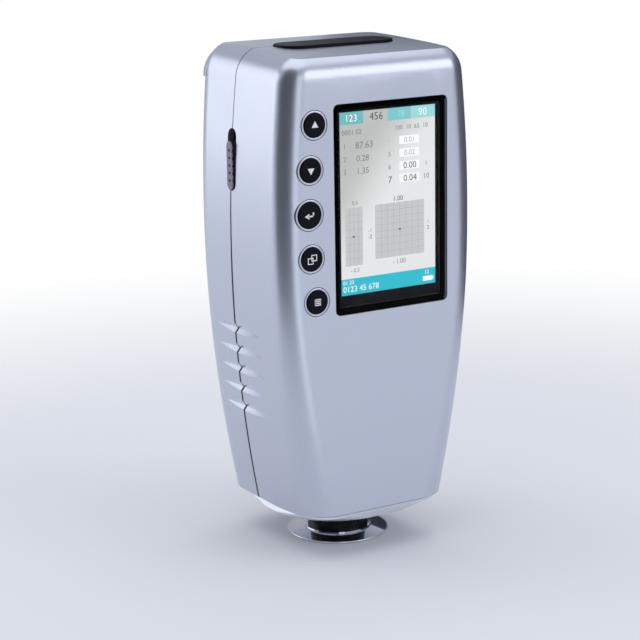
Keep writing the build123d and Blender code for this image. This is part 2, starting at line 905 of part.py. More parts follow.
def charge_socket():
    mouth = side_x(socket_z) - socket_recess
    back = mouth - socket_depth
    can = slab_x(socket_height, socket_length, socket_height / 3, socket_y, socket_z, back, mouth)
    inside_height = socket_height - 2 * socket_skin
    inside_length = socket_length - 2 * socket_skin
    deep = back + socket_blind
    can -= slab_x(inside_height, inside_length, inside_height / 3, socket_y, socket_z, deep, mouth)
    half = socket_tongue / 2
    reach = inside_length / 2 - socket_tongue
    tip = mouth - socket_recess
    low = socket_z - reach
    can += block(back + socket_skin, tip, socket_y - half, socket_y + half, low, socket_z + reach)
    return can


def main_board():
    board = block(
        -main_board_half_width, main_board_half_width, main_board_y, main_board_back_y,
        main_board_low_z, main_board_high_z,
    )
    for x, z in main_board_bosses:
        board -= through_y(x, z, main_board_y - wall, main_board_back_y + wall)
    return board


def shield_can():
    half = shield_size / 2
    return block(
        -half, half, main_board_back_y, main_board_back_y + shield_height, shield_z - half, shield_z + half
    )


def board_chips():
    chips = []
    half = chip_size / 2
    offset = shield_size / 2 + chip_gap + half
    for x, z in ((0, shield_z + offset), (0, shield_z - offset), (offset, shield_z), (-offset, shield_z)):
        chip_end = main_board_back_y + chip_height
        chips.append(block(x - half, x + half, main_board_back_y, chip_end, z - half, z + half))
    return group(chips)


def display_glass():
    glass = slab_y(glass_width, glass_height, glass_radius, screen_x, screen_z, front_y, glass_back_y)
    return chamfer(glass.edges().group_by(Axis.Y)[0], glass_clearance)


def display_gasket():
    back = glass_back_y + gasket_thickness
    frame = slab_y(glass_width, glass_height, glass_radius, screen_x, screen_z, glass_back_y, back)
    return frame - slab_y(window_width, window_height, window_corner, screen_x, screen_z, front_y, back)


def display_panel():
    return slab_y(panel_width, panel_height, window_corner, screen_x, screen_z, front_inside_y, panel_back_y)


def display_bracket():
    width = panel_width + 2 * (bracket_boss_gap + bracket_side_reach)
    plate = slab_y(width, panel_height, glass_radius, screen_x, screen_z, panel_back_y, bracket_back_y)
    plate -= slab_y(
        panel_width - 2 * bracket_rail, panel_height - 2 * bracket_rail, glass_radius, screen_x, screen_z,
        panel_back_y, bracket_back_y,
    )
    for x, z in bracket_bosses:
        plate -= through_y(x, z, panel_back_y, bracket_back_y)
    return plate


def battery():
    half_x = battery_width / 2
    half_z = battery_height / 2
    battery_back = bay_floor_y + battery_thickness
    pack = block(-half_x, half_x, bay_floor_y, battery_back, battery_z - half_z, battery_z + half_z)
    return fillet(pack.edges().filter_by(Axis.Z), battery_thickness / 5)


def battery_contacts():
    blades = []
    low = battery_z - battery_height / 2 - bay_end_clearance
    middle = bay_floor_y + battery_thickness / 2
    half = contact_length / 2
    for sign in (-1, 0, 1):
        x = sign * contact_spread / 2
        blades.append(
            block(
                x - contact_width / 2, x + contact_width / 2, middle - half, middle + half,
                low, low + bay_end_clearance,
            )
        )
    return group(blades)


def board_screws():
    """Every small screw: boards, screen bracket, neck, light sensor and sphere."""
    screws = []
    rearward = Rot(X=-90)
    forward = Rot(X=90)
    for x, z in main_board_bosses:
        screws.append(Pos(x, main_board_back_y, z) * rearward * small_screw())
    for x, z in key_board_bosses:
        screws.append(Pos(x, key_board_y + small_board_thickness, z) * rearward * small_screw())
    for x, z in bracket_bosses:
        screws.append(Pos(x, bracket_back_y, z) * rearward * small_screw())
    for side, board_y in ((-1, power_board_y), (1, io_board_y)):
        for z in side_boss_z:
            screws.append(Pos(side * side_board_x, board_y, z) * forward * small_screw())
    for x in trigger_screws:
        screws.append(Pos(x, trigger_y, trigger_board_top) * small_screw())
    return group(screws)


def optics_screws():
    screws = []
    for location in PolarLocations(neck_screw_circle, neck_screw_count, start_angle=90):
        screws.append(Pos(0, 0, neck_top) * location * small_screw())
    flange_top = sphere_centre_z + sphere_flange_thickness
    for location in PolarLocations(sphere_screw_circle, sphere_screw_count, start_angle=45):
        screws.append(Pos(0, 0, flange_top) * location * small_screw())
    for sign in (-1, 1):
        screws.append(Pos(sign * sensor_screw_spread, 0, sensor_board_top) * small_screw())
    return group(screws)


def case_screws():
    screws = []
    for x, z in case_bosses:
        one = screw(case_screw_radius, case_screw_length, case_head_radius, case_head_height)
        screws.append(Pos(x, case_head_seat_y, z) * Rot(X=-90) * one)
    return group(screws)


def frame_screws():
    """Screws of the optics frame, from above, and of the bottom cap, from below."""
    screws = []
    one = screw(frame_screw_radius, frame_screw_length, frame_head_radius, frame_head_height)
    for x, y in pillars:
        screws.append(Pos(x, y, frame_top) * one)
    for x, y in front_lugs + rear_lugs:
        screws.append(Pos(x, y, cap_bottom + frame_head_height) * Rot(X=180) * one)
    return group(screws)


def foot_ring():
    seat = neck_radius + neck_clearance
    return turned([
        (aperture_plug_radius, 0),
        (foot_radius - foot_rim / 3, 0),
        (foot_radius, foot_rim / 3),
        (foot_radius, foot_rim),
        (seat + foot_collar_wall, foot_cone_top),
        (seat + foot_collar_wall, foot_collar_height),
        (seat, foot_collar_height),
        (seat, foot_floor),
        (aperture_plug_radius, foot_floor),
    ])


def measuring_neck():
    tube = turned([
        (neck_bore, foot_floor),
        (neck_radius, foot_floor),
        (neck_radius, cap_floor_top),
        (neck_flange_radius, cap_floor_top),
        (neck_flange_radius, neck_top),
        (neck_bore, neck_top),
    ])
    for location in PolarLocations(neck_screw_circle, neck_screw_count, start_angle=90):
        tube -= location * through_z(0, 0, cap_floor_top, neck_top)
    return tube


def aperture_insert():
    plug = aperture_plug_radius - aperture_plug_clearance
    top = foot_floor + aperture_flange_thickness
    return turned([
        (aperture_radius, 0),
        (plug, 0),
        (plug, foot_floor),
        (aperture_flange_radius, foot_floor),
        (aperture_flange_radius, top),
        (aperture_radius, top),
    ])


def sphere_lower():
    ball = Pos(0, 0, sphere_centre_z) * Sphere(sphere_radius)
    low = ball & block(-far, far, -far, far, 0, sphere_centre_z)
    low += rod_z(pedestal_radius, 0, 0, neck_top, neck_top + pedestal_overlap)
    low += rod_z(sphere_flange_radius, 0, 0, frame_top, sphere_centre_z)
    low -= Pos(0, 0, sphere_centre_z) * Sphere(sphere_bore)
    low -= rod_z(sample_port_radius, 0, 0, cap_floor_top, sphere_centre_z)
    for location in PolarLocations(sphere_screw_circle, sphere_screw_count, start_angle=45):
        low -= location * through_z(0, 0, frame_top, sphere_centre_z)
    return low


def sphere_upper():
    ball = Pos(0, 0, sphere_centre_z) * Sphere(sphere_radius)
    high = ball & block(-far, far, -far, far, sphere_centre_z, far)
    high += rod_z(sphere_boss_radius, 0, 0, sphere_centre_z + sphere_bore / 2, sphere_boss_top)
    flange_top = sphere_centre_z + sphere_flange_thickness
    high += rod_z(sphere_flange_radius, 0, 0, sphere_centre_z, flange_top)
    high -= Pos(0, 0, sphere_centre_z) * Sphere(sphere_bore)
    high -= rod_z(sensor_port_radius, 0, 0, sphere_centre_z, sphere_boss_top)
    for location in PolarLocations(led_circle, led_count):
        high -= location * rod_z(led_radius + led_port_clearance, 0, 0, sphere_centre_z, sphere_boss_top)
    for location in PolarLocations(sphere_screw_circle, sphere_screw_count, start_angle=45):
        high -= location * through_z(0, 0, sphere_centre_z, flange_top)
    return high


def optics_frame():
    plate = slab_z(2 * frame_half_x, 2 * frame_half_y, frame_corner, 0, 0, frame_low, frame_top)
    plate -= rod_z(sphere_radius + frame_hole_clearance, 0, 0, frame_low, frame_top)
    for x, y in pillars:
        plate -= rod_z(frame_screw_radius + screw_clearance, x, y, frame_low, frame_top)
    for location in PolarLocations(sphere_screw_circle, sphere_screw_count, start_angle=45):
        plate -= location * pilot_z(0, 0, frame_low, frame_top)
    return plate


def led_board():
    board_top = sphere_boss_top + small_board_thickness
    disc = rod_z(led_board_outer, 0, 0, sphere_boss_top, board_top)
    return disc - rod_z(led_board_inner, 0, 0, sphere_boss_top, board_top)


def leds():
    lamp = rod_z(led_radius, 0, 0, sphere_boss_top - led_length, sphere_boss_top)
    lamp = fillet(lamp.edges().group_by(Axis.Z)[0], led_radius * 0.8)
    return group([location * lamp for location in PolarLocations(led_circle, led_count)])


def lens_barrel():
    flange_low = barrel_top - barrel_flange_thickness
    tube = turned([
        (barrel_stop_bore, sphere_boss_top),
        (barrel_radius, sphere_boss_top),
        (barrel_radius, flange_low),
        (barrel_flange_radius, flange_low),
        (barrel_flange_radius, barrel_top),
        (barrel_bore, barrel_top),
        (barrel_bore, barrel_stop_z),
        (barrel_stop_bore, barrel_stop_z),
    ])
    for sign in (-1, 1):
        tube -= pilot_z(sign * sensor_screw_spread, 0, flange_low, barrel_top)
    return tube


def collecting_lens():
    bulge = (lens_thickness - lens_edge) / 2
    low = barrel_stop_z + thread_clearance
    high = low + lens_thickness
    ball = (lens_radius ** 2 + bulge ** 2) / (2 * bulge)
    disc = rod_z(lens_radius, 0, 0, low, high)
    return disc & Pos(0, 0, high - ball) * Sphere(ball) & Pos(0, 0, low + ball) * Sphere(ball)


def sensor_board():
    half = sensor_board_size / 2
    board = block(-half, half, -half, half, barrel_top, sensor_board_top)
    for sign in (-1, 1):
        board -= through_z(sign * sensor_screw_spread, 0, barrel_top, sensor_board_top)
    return board


def light_sensor():
    half = sensor_size / 2
    return block(-half, half, -half, half, barrel_top - sensor_height, barrel_top)


os.makedirs("parts", exist_ok=True)
write("front_shell", front_shell())
write("rear_shell", rear_shell())
write("bottom_cap", bottom_cap())
write("battery_door", battery_door())
write("battery", battery())
write("battery_contacts", battery_contacts())
write("display_glass", display_glass())
write("display_gasket", display_gasket())
write("display_panel", display_panel())
write("display_bracket", display_bracket())
key_names = ("up_key", "down_key", "enter_key", "back_key", "menu_key")
for name, (x, z, radius) in zip(key_names, keys):
    write(name, key_cap(x, z, radius))
write("key_board", key_board())
write("key_switches", key_switches())
write("measure_key", measure_key())
write("trigger_board", trigger_board())
write("trigger_switch", trigger_switch())
write("power_slider", power_slider())
write("power_switch", power_switch())
write("power_board", side_board(-1, power_board_y))
write("charge_board", side_board(1, io_board_y))
write("charge_socket", charge_socket())
write("main_board", main_board())
write("shield_can", shield_can())
write("board_chips", board_chips())
write("board_screws", board_screws())
write("case_screws", case_screws())
write("frame_screws", frame_screws())
write("optics_screws", optics_screws())
write("foot_ring", foot_ring())
write("measuring_neck", measuring_neck())
write("aperture_insert", aperture_insert())
write("sphere_lower", sphere_lower())
write("sphere_upper", sphere_upper())
write("optics_frame", optics_frame())
write("led_board", led_board())
write("leds", leds())
write("lens_barrel", lens_barrel())
write("collecting_lens", collecting_lens())
write("sensor_board", sensor_board())
write("light_sensor", light_sensor())
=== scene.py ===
import math
import bpy
from mathutils import Matrix, Vector


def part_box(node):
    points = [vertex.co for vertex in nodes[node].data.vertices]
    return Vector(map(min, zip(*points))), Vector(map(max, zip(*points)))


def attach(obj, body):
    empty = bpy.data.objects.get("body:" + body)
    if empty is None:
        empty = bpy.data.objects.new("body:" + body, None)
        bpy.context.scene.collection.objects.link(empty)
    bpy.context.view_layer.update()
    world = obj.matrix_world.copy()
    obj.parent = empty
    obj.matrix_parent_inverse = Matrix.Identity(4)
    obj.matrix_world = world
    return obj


# Portable colorimeter on its measuring foot: finishes, screen picture, key marks and rings,
# foot edge, slider pad and studio.
# Everything is in metres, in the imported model's own frame. The screen faces -Y.

mm = 0.001
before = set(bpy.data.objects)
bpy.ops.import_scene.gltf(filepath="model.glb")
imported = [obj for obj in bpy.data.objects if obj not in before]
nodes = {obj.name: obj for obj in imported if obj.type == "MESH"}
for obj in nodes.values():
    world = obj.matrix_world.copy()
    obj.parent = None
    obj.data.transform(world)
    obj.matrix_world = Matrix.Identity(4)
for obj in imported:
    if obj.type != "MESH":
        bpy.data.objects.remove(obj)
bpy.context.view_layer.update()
bpy.ops.object.select_all(action="DESELECT")
print("frame loaded:", len(nodes), "nodes")

# Camera, at the photograph's angle
cameraView = {
    "place": (-0.40026, -0.64970, 0.26909),
    "turn": -31.2,
    "pitch": 13.5,
    "roll": -0.92,
    "lens": 112.5,
    "sensor": 36.0,
    "clipStart": 0.01,
}


def addCamera(values):
    turn = math.radians(values["turn"])
    pitch = math.radians(values["pitch"])
    roll = math.radians(values["roll"])
    level = math.cos(pitch)
    back = Vector((math.sin(turn) * level, -math.cos(turn) * level, math.sin(pitch)))
    right = (-back).cross(Vector((0, 0, 1))).normalized()
    up = right.cross(-back)
    across = right * math.cos(roll) + up * math.sin(roll)
    above = up * math.cos(roll) - right * math.sin(roll)
    bpy.ops.object.camera_add()
    camera = bpy.context.object
    camera.name = "photo_camera"
    axes = Matrix((across, above, back)).transposed().to_4x4()
    camera.matrix_world = Matrix.Translation(values["place"]) @ axes
    camera.data.lens = values["lens"]
    camera.data.sensor_width = values["sensor"]
    camera.data.clip_start = values["clipStart"]
    bpy.context.scene.camera = camera


addCamera(cameraView)
print("camera placed")


# Materials: the grain of every finish, and how its smudges spread over a roughness range
surfaceGrain = {
    "inputs": {"Grain Scale": 2500.0, "Smudge Scale": 28.0, "Grain Depth": 0.05},
    "grainDetail": 2.0,
    "smudgeDetail": 4.0,
    "smudgeRoughness": 0.6,
    "bumpDistance": 0.0001,
    "smudgeFrom": 0.22,
    "smudgeTo": 0.78,
}


def link(tree, output, socket):
    tree.links.new(output, socket)


def makeGrainGroup(values):
    # Fine grain, broad smudges and a bumped normal, all on the object's own coordinates
    group = bpy.data.node_groups.new("surfaceGrain", "ShaderNodeTree")
    sockets = group.interface
    for name, start in values["inputs"].items():
        socket = sockets.new_socket(name=name, in_out="INPUT", socket_type="NodeSocketFloat")
        socket.default_value = start
    sockets.new_socket(name="Grain", in_out="OUTPUT", socket_type="NodeSocketFloat")
    sockets.new_socket(name="Smudge", in_out="OUTPUT", socket_type="NodeSocketFloat")
    sockets.new_socket(name="Normal", in_out="OUTPUT", socket_type="NodeSocketVector")
    given = group.nodes.new("NodeGroupInput")
    result = group.nodes.new("NodeGroupOutput")
    place = group.nodes.new("ShaderNodeTexCoord")
    grain = group.nodes.new("ShaderNodeTexNoise")
    grain.inputs["Detail"].default_value = values["grainDetail"]
    smudge = group.nodes.new("ShaderNodeTexNoise")
    smudge.inputs["Detail"].default_value = values["smudgeDetail"]
    smudge.inputs["Roughness"].default_value = values["smudgeRoughness"]
    bump = group.nodes.new("ShaderNodeBump")
    bump.inputs["Distance"].default_value = values["bumpDistance"]
    link(group, place.outputs["Object"], grain.inputs["Vector"])
    link(group, place.outputs["Object"], smudge.inputs["Vector"])
    link(group, given.outputs["Grain Scale"], grain.inputs["Scale"])
    link(group, given.outputs["Smudge Scale"], smudge.inputs["Scale"])
    link(group, given.outputs["Grain Depth"], bump.inputs["Strength"])
    link(group, grain.outputs["Fac"], bump.inputs["Height"])
    link(group, grain.outputs["Fac"], result.inputs["Grain"])
    link(group, smudge.outputs["Fac"], result.inputs["Smudge"])
    link(group, bump.outputs["Normal"], result.inputs["Normal"])
    return group


grainGroup = makeGrainGroup(surfaceGrain)


def newFinish(name, shaderValues, grain=None, tones=None, roughness=None):
    # Without grain the finish is plain. Otherwise grain holds the group's three inputs, the grain
    # mixes two tones, and the smudges cover a range of roughness.
    material = bpy.data.materials.new(name)
    material.use_nodes = True
    tree = material.node_tree
    shader = tree.nodes["Principled BSDF"]
    for socket, value in shaderValues.items():
        shader.inputs[socket].default_value = value
    if grain is None:
        return material
    surface = tree.nodes.new("ShaderNodeGroup")
    surface.node_tree = grainGroup
    for socket, value in zip(surfaceGrain["inputs"], grain):
        surface.inputs[socket].default_value = value
    link(tree, surface.outputs["Normal"], shader.inputs["Normal"])
    mix = tree.nodes.new("ShaderNodeMix")
    mix.data_type = "RGBA"
    mix.inputs["A"].default_value = tones[0]
    mix.inputs["B"].default_value = tones[1]
    link(tree, surface.outputs["Grain"], mix.inputs["Factor"])
    link(tree, mix.outputs["Result"], shader.inputs["Base Color"])
    spread = tree.nodes.new("ShaderNodeMapRange")
    spread.interpolation_type = "SMOOTHSTEP"
    spread.inputs["From Min"].default_value = surfaceGrain["smudgeFrom"]
    spread.inputs["From Max"].default_value = surfaceGrain["smudgeTo"]
    spread.inputs["To Min"].default_value = roughness[0]
    spread.inputs["To Max"].default_value = roughness[1]
    link(tree, surface.outputs["Smudge"], spread.inputs["Value"])
    link(tree, spread.outputs["Result"], shader.inputs["Roughness"])
    return material


casingSilver = newFinish(
    "casingSilver",
    {"Metallic": 0.88, "Coat Weight": 0.12, "Coat Roughness": 0.2},
    grain=(5200.0, 24.0, 0.08),
    tones=((0.483, 0.511, 0.608, 1), (0.662, 0.694, 0.796, 1)),
    roughness=(0.278, 0.33),
)
keyBlack = newFinish(
    "keyBlack",
    {"Specular IOR Level": 0.08},
    grain=(1500.0, 90.0, 0.04),
    tones=((0.002, 0.0025, 0.005, 1), (0.006, 0.007, 0.013, 1)),
    roughness=(0.36, 0.48),
)
sliderGrey = newFinish(
    "sliderGrey",
    {},
    grain=(3000.0, 120.0, 0.10),
    tones=((0.17, 0.16, 0.20, 1), (0.24, 0.23, 0.28, 1)),
    roughness=(0.38, 0.5),
)
neckBlack = newFinish(
    "neckBlack",
    {"Specular IOR Level": 0.15},
    grain=(2600.0, 60.0, 0.08),
    tones=((0.002, 0.0025, 0.003, 1), (0.006, 0.006, 0.008, 1)),
    roughness=(0.2, 0.3),
)
footPolished = newFinish(
    "footPolished",
    {"Metallic": 1.0},
    grain=(900.0, 70.0, 0.01),
    tones=((0.58, 0.59, 0.63, 1), (0.68, 0.69, 0.73, 1)),
    roughness=(0.05, 0.12),
)
ringWhite = newFinish(
    "ringWhite",
    {},
    grain=(1800.0, 50.0, 0.05),
    tones=((0.86, 0.86, 0.84, 1), (0.92, 0.92, 0.90, 1)),
    roughness=(0.5, 0.62),
)
steelPlain = newFinish(
    "steelPlain",
    {"Metallic": 1.0},
    grain=(3200.0, 200.0, 0.10),
    tones=((0.42, 0.42, 0.44, 1), (0.58, 0.58, 0.60, 1)),
    roughness=(0.25, 0.4),
)
brassContact = newFinish(
    "brassContact",
    {"Metallic": 1.0},
    grain=(2600.0, 120.0, 0.05),
    tones=((0.72, 0.50, 0.18, 1), (0.86, 0.64, 0.28, 1)),
    roughness=(0.2, 0.35),
)
batteryWrap = newFinish(
    "batteryWrap",
    {},
    grain=(900.0, 30.0, 0.05),
    tones=((0.03, 0.05, 0.10, 1), (0.04, 0.065, 0.13, 1)),
    roughness=(0.3, 0.42),
)
boardGreen = newFinish(
    "boardGreen",
    {},
    grain=(1400.0, 60.0, 0.08),
    tones=((0.01, 0.09, 0.04, 1), (0.02, 0.16, 0.07, 1)),
    roughness=(0.35, 0.5),
)
chipBlack = newFinish(
    "chipBlack",
    {},
    grain=(4200.0, 90.0, 0.15),
    tones=((0.012, 0.012, 0.013, 1), (0.03, 0.03, 0.032, 1)),
    roughness=(0.5, 0.62),
)
sheetMetal = newFinish(
    "sheetMetal",
    {"Metallic": 1.0},
    grain=(1800.0, 60.0, 0.06),
    tones=((0.56, 0.57, 0.60, 1), (0.70, 0.71, 0.73, 1)),
    roughness=(0.3, 0.45),
)
opticsBlack = newFinish(
    "opticsBlack",
    {"Metallic": 0.6},
    grain=(3600.0, 90.0, 0.12),
    tones=((0.02, 0.02, 0.022, 1), (0.05, 0.05, 0.055, 1)),
    roughness=(0.4, 0.55),
)
foamBlack = newFinish(
    "foamBlack",
    {},
    grain=(5200.0, 90.0, 0.4),
    tones=((0.008, 0.008, 0.009, 1), (0.025, 0.025, 0.028, 1)),
    roughness=(0.75, 0.9),
)
lampClear = newFinish(
    "lampClear",
    {"Base Color": (0.85, 0.86, 0.80, 1), "Roughness": 0.12, "Transmission Weight": 0.4},
)
coverGlass = newFinish(
    "coverGlass",
    {
        "Base Color": (0.97, 0.98, 0.98, 1),
        "Roughness": 0.0,
        "IOR": 1.12,
        "Transmission Weight": 1.0,
        "Specular IOR Level": 0.25,
    },
)
sensorDark = newFinish(
    "sensorDark",
    {},
    grain=(2200.0, 90.0, 0.03),
    tones=((0.02, 0.022, 0.03, 1), (0.04, 0.045, 0.06, 1)),
    roughness=(0.12, 0.22),
)


def shadeBetween(material, dark, addMask):
    # Mixes a dark tone into the finish where addMask says so
    tree = material.node_tree
    shader = tree.nodes["Principled BSDF"]
    tones = shader.inputs["Base Color"].links[0].from_socket
    place = tree.nodes.new("ShaderNodeTexCoord")
    mask = addMask(tree, place.outputs["Object"])
    mix = tree.nodes.new("ShaderNodeMix")
    mix.data_type = "RGBA"
    mix.inputs["B"].default_value = dark
    link(tree, mask, mix.inputs["Factor"])
    link(tree, tones, mix.inputs["A"])
    link(tree, mix.outputs["Result"], shader.inputs["Base Color"])


# The painted shadow line of the seam between the two shells: its leaning plane, and how far the
# painted dark reaches at two heights. Millimetres.
seamShade = {
    "lean": 0.034,
    "middle": 8.02,
    "low": (110.0, 0.72),
    "high": (172.0, 0.26),
    "softness": 0.65,
    "dark": (0.03, 0.03, 0.045, 1),
}


# Painted shade: dark near the leaning parting plane, fading out beyond the reach
def addSeamShadeMask(tree, place):
    lean = tree.nodes.new("ShaderNodeVectorMath")
    lean.operation = "DOT_PRODUCT"
    lean.inputs[1].default_value = (0, 1, seamShade["lean"])
    offset = tree.nodes.new("ShaderNodeMath")
    offset.operation = "SUBTRACT"
    offset.inputs[1].default_value = seamShade["middle"] * mm
    distance = tree.nodes.new("ShaderNodeMath")
    distance.operation = "ABSOLUTE"
    parts = tree.nodes.new("ShaderNodeSeparateXYZ")
    reach = tree.nodes.new("ShaderNodeMapRange")
    reach.inputs["From Min"].default_value = seamShade["low"][0] * mm
    reach.inputs["From Max"].default_value = seamShade["high"][0] * mm
    reach.inputs["To Min"].default_value = seamShade["low"][1] * mm
    reach.inputs["To Max"].default_value = seamShade["high"][1] * mm
    share = tree.nodes.new("ShaderNodeMath")
    share.operation = "DIVIDE"
    fade = tree.nodes.new("ShaderNodeMapRange")
    fade.inputs["From Min"].default_value = 1.0
    fade.inputs["From Max"].default_value = seamShade["softness"]
    link(tree, place, lean.inputs[0])
    link(tree, place, parts.inputs["Vector"])
    link(tree, lean.outputs["Value"], offset.inputs[0])
    link(tree, offset.outputs["Value"], distance.inputs[0])
    link(tree, parts.outputs["Z"], reach.inputs["Value"])
    link(tree, distance.outputs["Value"], share.inputs[0])
    link(tree, reach.outputs["Result"], share.inputs[1])
    link(tree, share.outputs["Value"], fade.inputs["Value"])
    return fade.outputs["Result"]


# The slider is dark below its face, where the slot shades it. Millimetres behind the face.
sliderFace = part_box("power_slider")[0][0]
slotShade = {"from": 0.12, "to": 0.3, "dark": (0.008, 0.008, 0.012, 1)}


def addDepthMask(tree, place):
    parts = tree.nodes.new("ShaderNodeSeparateXYZ")
    depth = tree.nodes.new("ShaderNodeMapRange")
    depth.inputs["From Min"].default_value = sliderFace + slotShade["from"] * mm
    depth.inputs["From Max"].default_value = sliderFace + slotShade["to"] * mm
    link(tree, place, parts.inputs["Vector"])
    link(tree, parts.outputs["X"], depth.inputs["Value"])
    return depth.outputs["Result"]


# The shadow line at the top of the cap, under the casing's rim, which rises towards the front.
# Millimetres.
capLine = {
    "rim": 16.1,
    "riseSlope": 0.073,
    "riseFrom": -7.0,
    "soft": 0.12,
    "dark": (0.05, 0.055, 0.07, 1),
}


def addCapLine(tree, place):
    level = capLine["rim"]
    risen = level + capLine["riseSlope"] * capLine["riseFrom"]
    masks = []
    for axis, start in (((0, 0, 1), level), ((0, capLine["riseSlope"], 1), risen)):
        height = tree.nodes.new("ShaderNodeVectorMath")
        height.operation = "DOT_PRODUCT"
        height.inputs[1].default_value = axis
        above = tree.nodes.new("ShaderNodeMapRange")
        above.inputs["From Min"].default_value = start * mm
        above.inputs["From Max"].default_value = (start + capLine["soft"]) * mm
        link(tree, place, height.inputs[0])
        link(tree, height.outputs["Value"], above.inputs["Value"])
        masks.append(above.outputs["Result"])
    both = tree.nodes.new("ShaderNodeMath")
    both.operation = "MINIMUM"
    link(tree, masks[0], both.inputs[0])
    link(tree, masks[1], both.inputs[1])
    return both.outputs["Value"]


# The shells' silver, with a painted shadow line along the seam between them
casingSeamShaded = casingSilver.copy()
casingSeamShaded.name = "casingSeamShaded"
shadeBetween(casingSeamShaded, seamShade["dark"], addSeamShadeMask)
shadeBetween(sliderGrey, slotShade["dark"], addDepthMask)

# Cap silver: painted lighter than the casing as a bright reflection, with a painted shadow line
# at its top
capSilverLitAndShaded = newFinish(
    "capSilverLitAndShaded",
    {"Metallic": 0.75, "Coat Weight": 0.12, "Coat Roughness": 0.2},
    grain=(5200.0, 24.0, 0.08),
    tones=((0.68, 0.71, 0.78, 1), (0.84, 0.87, 0.93, 1)),
    roughness=(0.278, 0.33),
)
shadeBetween(capSilverLitAndShaded, capLine["dark"], addCapLine)

finishes = {
    casingSilver: ("battery_door",),
    capSilverLitAndShaded: ("bottom_cap",),
    casingSeamShaded: ("front_shell", "rear_shell"),
    keyBlack: ("up_key", "down_key", "enter_key", "back_key", "menu_key", "measure_key"),
    sliderGrey: ("power_slider",),
    neckBlack: ("measuring_neck",),
    footPolished: ("foot_ring",),
    ringWhite: ("aperture_insert", "sphere_lower", "sphere_upper"),
    steelPlain: (
        "board_screws", "case_screws", "frame_screws", "optics_screws", "charge_socket",
    ),
    brassContact: ("battery_contacts",),
    batteryWrap: ("battery",),
    boardGreen: (
        "key_board", "trigger_board", "power_board", "charge_board",
        "main_board", "led_board", "sensor_board",
    ),
    chipBlack: ("key_switches", "trigger_switch", "power_switch", "board_chips"),
    sheetMetal: ("display_bracket", "shield_can"),
    opticsBlack: ("optics_frame", "lens_barrel"),
    foamBlack: ("display_gasket",),
    lampClear: ("leds",),
    coverGlass: ("display_glass", "collecting_lens"),
    sensorDark: ("light_sensor", "display_panel"),
}
for material, names in finishes.items():
    for name in names:
        mesh = nodes[name].data
        mesh.materials.clear()
        mesh.materials.append(material)
print("finishes placed")


# Helpers that several pieces use. Their lengths are in millimetres.
def newGlow(name, colour, strength=1.0):
    return newFinish(
        name,
        {
            "Base Color": (0, 0, 0, 1),
            "Roughness": 0.6,
            "Emission Color": colour,
            "Emission Strength": strength,
        },
    )


def settle(piece):
    # Puts the place, turn and size of a piece into its mesh
    bpy.ops.object.select_all(action="DESELECT")
    piece.select_set(True)
    bpy.context.view_layer.objects.active = piece
    bpy.ops.object.transform_apply(location=True, rotation=True, scale=True)
    return piece


def addPlate(west, east, low, high, front, back):
    centre = ((west + east) / 2 * mm, (front + back) / 2 * mm, (low + high) / 2 * mm)
    bpy.ops.mesh.primitive_cube_add(size=1, location=centre)
    plate = bpy.context.object
    plate.scale = ((east - west) * mm, (back - front) * mm, (high - low) * mm)
    return settle(plate)


def paint(piece, material):
    piece.data.materials.clear()
    piece.data.materials.append(material)
    return piece


def joinPieces(pieces, name):
    bpy.ops.object.select_all(action="DESELECT")
    for piece in pieces:
        piece.select_set(True)
    bpy.context.view_layer.objects.active = pieces[0]
    bpy.ops.object.join()
    joined = bpy.context.object
    joined.name = name
    return joined


def applyBoolean(piece, other, operation):
    modifier = piece.modifiers.new("boolean", "BOOLEAN")
    modifier.operation = operation
    modifier.object = other
    modifier.solver = "EXACT"
    bpy.context.view_layer.objects.active = piece
    bpy.ops.object.modifier_apply(modifier=modifier.name)
    bpy.data.objects.remove(other)


def cutAway(piece, cutter):
    applyBoolean(piece, cutter, "DIFFERENCE")


def mergeIn(piece, other):
    applyBoolean(piece, other, "UNION")


cutClear = 1.0  # how far a cutter stands out past what it cuts
smoothAngle = 40.0  # degrees


def addDisc(centre, radius, front, back, sides):
    x, z = centre
    bpy.ops.mesh.primitive_cylinder_add(
        vertices=sides, radius=radius * mm, depth=(back - front) * mm,
        location=(x * mm, (front + back) / 2 * mm, z * mm), rotation=(math.pi / 2, 0, 0),
    )
    return settle(bpy.context.object)


def roundEdges(piece, width, steps):
    modifier = piece.modifiers.new("round", "BEVEL")
    modifier.width = width * mm
    modifier.segments = steps
    modifier.limit_method = "ANGLE"
    bpy.context.view_layer.objects.active = piece
    bpy.ops.object.modifier_apply(modifier=modifier.name)


def smoothPiece(piece):
    bpy.ops.object.select_all(action="DESELECT")
    piece.select_set(True)
    bpy.context.view_layer.objects.active = piece
    bpy.ops.object.shade_smooth_by_angle(angle=math.radians(smoothAngle))
    bpy.ops.object.select_all(action="DESELECT")


# Screen: black border behind the glass, and the lit picture inside it. Millimetres, and the sizes
# of lines and marks as shares of the lit area.
screen = {
    "window": (-18.05, 26.85, 99.4, 172.9),
    "active": (-17.1, 25.3, 103.6, 172.2),
    "borderFront": -32.75,
    "borderBack": -32.6,
    "groundFront": -32.45,
    "groundBack": -32.25,
    "tileRise": 0.03,
    "lineRise": 0.045,
    "wordRise": 0.06,
    "wordDepth": 0.01,
    "wordCurve": 3,
    "digitShare": 0.7,
    "lineHalf": 0.0025,
    "markHalf": (0.012, 0.004),
    "batteryMark": ((0.865, 0.97, 0.955, 0.982), (0.97, 0.98, 0.962, 0.975)),
}
borderBlack = newFinish(
    "borderBlack",
    {"Base Color": (0.004, 0.004, 0.006, 1), "Roughness": 0.5, "Specular IOR Level": 0.1},
)


def addBorder(values):
    west, east, low, high = values["window"]
    front, back = values["borderFront"], values["borderBack"]
    border = addPlate(west, east, low, high, front, back)
    west, east, low, high = values["active"]
    cutAway(border, addPlate(west, east, low, high, front - cutClear, back + cutClear))
    border.name = "screen_border"
    paint(border, borderBlack)
    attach(border, "case")


